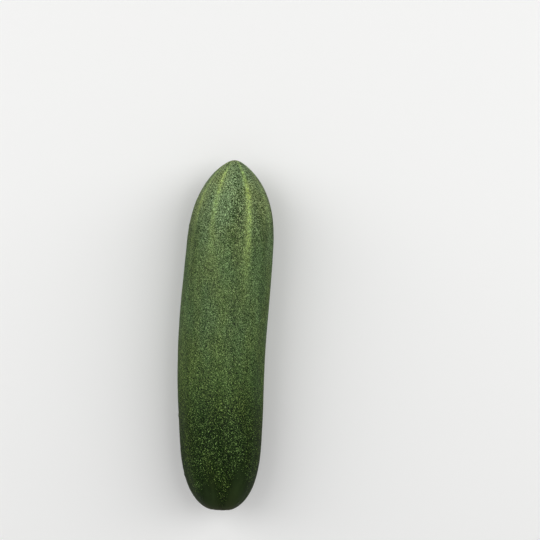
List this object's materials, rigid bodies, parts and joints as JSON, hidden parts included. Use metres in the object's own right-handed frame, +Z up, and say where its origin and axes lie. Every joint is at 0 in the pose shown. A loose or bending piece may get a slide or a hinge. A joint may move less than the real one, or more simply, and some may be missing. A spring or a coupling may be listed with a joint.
{
  "type": "cucumber",
  "caption": "Whole slicing cucumber with dark green speckled skin, a blunt stem end and a paler tapered blossom end, lying on its side.",
  "frame": {"origin": "middle of the footprint on the surface it lies on, at the height of that surface", "axes": "+Y along the fruit from the stem end to the blossom end, +X across it, +Z up from the surface it lies on"},
  "size_m": [0.0546, 0.21, 0.0516],
  "materials": {
    "cucumber_skin": "waxy satin skin, dark green at the stem end, lighter and speckled towards the blossom end",
    "corky_stem": "dry, dull and ridged, with a torn pale end"
  },
  "bodies": {
    "root": {"cucumber_fruit": "cucumber_skin", "stem_stub": "corky_stem"}
  },
  "joints": []
}
